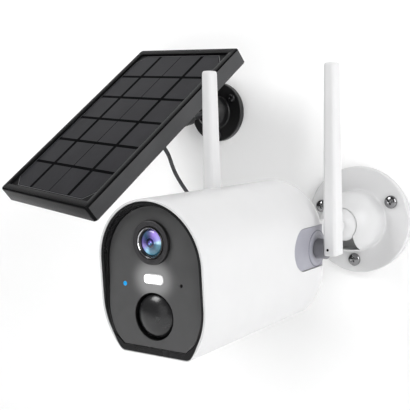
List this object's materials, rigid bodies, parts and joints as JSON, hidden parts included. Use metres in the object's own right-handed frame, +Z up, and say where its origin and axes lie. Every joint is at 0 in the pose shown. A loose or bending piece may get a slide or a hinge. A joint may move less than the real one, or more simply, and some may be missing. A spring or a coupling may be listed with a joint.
{
  "type": "solar-powered security camera",
  "caption": "Battery bullet camera with two folding antennas on a ball-jointed wall arm, wired to a small tilting solar panel on its own wall arm.",
  "frame": {"origin": "centre of the camera wall base's back face, on the wall", "axes": "+Y into the wall, +Z up, +X to the right of a person facing the wall; the camera looks along -Y"},
  "size_m": [0.2657, 0.2533, 0.2024],
  "materials": {
    "white_plastic": "satin injection-moulded white ABS",
    "hood_plastic": "near-black moulded plastic, fine texture",
    "fascia_plastic": "dark grey satin plastic",
    "bezel_plastic": "dark grey matt plastic",
    "trim_chrome": "bright polished ring",
    "lens_glass": "coated lens with violet and teal reflections",
    "black_plastic": "black moulded plastic",
    "circuit_board": "green solder mask",
    "light_lens": "clear diffusing window",
    "status_lens": "blue light pipe",
    "pir_lens": "smoked polyethylene dome",
    "sensor_can": "plated steel",
    "battery_wrap": "shrink-wrapped cell",
    "service_rubber": "soft pale rubber",
    "hub_plastic": "pale lavender grey plastic",
    "pin_steel": "plain steel",
    "insert_brass": "turned brass",
    "screw_chrome": "plated cross-head screw",
    "screw_black": "black cross-head screw",
    "nylon": "natural nylon",
    "stud_plastic": "satin white moulded ball and stud",
    "stud_black": "blackened steel ball stud",
    "mount_plastic": "black glass-filled nylon",
    "frame_metal": "black powder-coated frame",
    "cell_laminate": "dark silicon cells under a clear film",
    "back_plastic": "black back sheet",
    "lead_jacket": "black flexible jacket"
  },
  "bodies": {
    "root": {"camera_base": "white_plastic", "camera_base_screw_1": "screw_chrome", "camera_base_screw_2": "screw_chrome", "camera_base_screw_3": "screw_chrome", "panel_base": "mount_plastic", "panel_base_screw_1": "screw_black", "panel_base_screw_2": "screw_black", "panel_base_screw_3": "screw_black", "lead_upper": "lead_jacket", "lead_lower": "lead_jacket", "lead_coil": "lead_jacket", "coil_tie": "black_plastic", "lead_hook": "white_plastic"},
    "camera_swivel": {"camera_cup": "nylon"},
    "camera_ball": {"camera_ball_stud": "stud_plastic"},
    "lock_ring": {"camera_lock_ring": "white_plastic"},
    "antenna_left_body": {"antenna_left": "white_plastic", "antenna_pin_left": "pin_steel"},
    "antenna_right_body": {"antenna_right": "white_plastic", "antenna_pin_right": "pin_steel"},
    "service_door": {"service_cover": "service_rubber"},
    "button": {"power_button": "black_plastic"},
    "panel_swivel": {"panel_cup": "nylon"},
    "panel_ball": {"panel_ball_stud": "stud_black"},
    "arm": {"panel_arm": "mount_plastic", "hinge_bolt": "pin_steel"},
    "knob": {"hinge_knob": "mount_plastic"},
    "panel": {"panel_frame": "frame_metal", "panel_laminate": "cell_laminate", "panel_back_cover": "back_plastic", "junction_box": "back_plastic", "lead_gland": "lead_jacket", "panel_bracket": "mount_plastic"},
    "camera": {"housing_shell": "white_plastic", "camera_arm": "white_plastic", "front_hood": "hood_plastic", "fascia": "fascia_plastic", "lens_bezel": "bezel_plastic", "lens_trim_ring": "trim_chrome", "lens_glass": "lens_glass", "lens_barrel": "black_plastic", "battery_cradle": "black_plastic", "speaker": "black_plastic", "microphone": "black_plastic", "sensor_board": "circuit_board", "light_board": "circuit_board", "main_board": "circuit_board", "light_window": "light_lens", "status_light_pipe": "status_lens", "pir_dome": "pir_lens", "pir_sensor": "sensor_can", "charge_port": "sensor_can", "battery_cell_left": "battery_wrap", "battery_cell_right": "battery_wrap", "hub_plate_left": "hub_plastic", "hub_plate_right": "hub_plastic", "threaded_insert": "insert_brass", "lead_plug": "lead_jacket"}
  },
  "joints": [
    {"name": "camera_pan", "type": "hinge", "parent": "root", "child": "camera_swivel", "pos_m": [0, -0.0297, 0], "axis": [0, 0, 1], "range_deg": [-14, 22], "deforming": ["lead_lower"]},
    {"name": "camera_tilt", "type": "hinge", "parent": "camera_swivel", "child": "camera_ball", "pos_m": [0, -0.0297, 0], "axis": [1, 0, 0], "range_deg": [-25, 50], "deforming": ["lead_lower"]},
    {"name": "camera_roll", "type": "hinge", "parent": "camera_ball", "child": "camera", "pos_m": [0, -0.0297, 0], "axis": [0, 1, 0], "range_deg": [-15, 15], "deforming": ["lead_lower"]},
    {"name": "lock_ring_turn", "type": "hinge", "parent": "camera", "child": "lock_ring", "pos_m": [0, -0.107, 0], "axis": [0, 1, 0], "continuous": true},
    {"name": "antenna_left_fold", "type": "hinge", "parent": "camera", "child": "antenna_left_body", "pos_m": [-0.0416, -0.1344, -0.0003], "axis": [1, 0, 0], "range_deg": [-90, 90]},
    {"name": "antenna_right_fold", "type": "hinge", "parent": "camera", "child": "antenna_right_body", "pos_m": [0.0416, -0.1344, -0.0003], "axis": [1, 0, 0], "range_deg": [-90, 90]},
    {"name": "service_cover_swing", "type": "hinge", "parent": "camera", "child": "service_door", "pos_m": [-0.0084, -0.1863, -0.0392], "axis": [0, 1, 0], "range_deg": [0, 110]},
    {"name": "power_button_press", "type": "slide", "parent": "camera", "child": "button", "axis": [0, 0, 1], "range_m": [0, 0.001], "stiffness_N_per_m": 400},
    {"name": "panel_pan", "type": "hinge", "parent": "root", "child": "panel_swivel", "pos_m": [-0.12399, -0.013, 0.0826], "axis": [0, 0, 1], "range_deg": [-15, 15], "deforming": ["lead_upper"]},
    {"name": "panel_lift", "type": "hinge", "parent": "panel_swivel", "child": "panel_ball", "pos_m": [-0.12399, -0.013, 0.0826], "axis": [0.9679, -0.242, -0.0684], "range_deg": [-10, 10], "deforming": ["lead_upper"]},
    {"name": "panel_twist", "type": "hinge", "parent": "panel_ball", "child": "arm", "pos_m": [-0.12399, -0.013, 0.0826], "axis": [0.251, 0.9468, 0.2013], "range_deg": [-15, 15], "deforming": ["lead_upper"]},
    {"name": "panel_tilt", "type": "hinge", "parent": "arm", "child": "panel", "pos_m": [-0.14212, -0.08141, 0.06806], "axis": [0.9679, -0.242, -0.0684], "range_deg": [-12, 48], "deforming": ["lead_upper"]},
    {"name": "hinge_knob_turn", "type": "hinge", "parent": "arm", "child": "knob", "pos_m": [-0.1518, -0.07899, 0.06874], "axis": [0.9679, -0.242, -0.0684], "continuous": true}
  ]
}
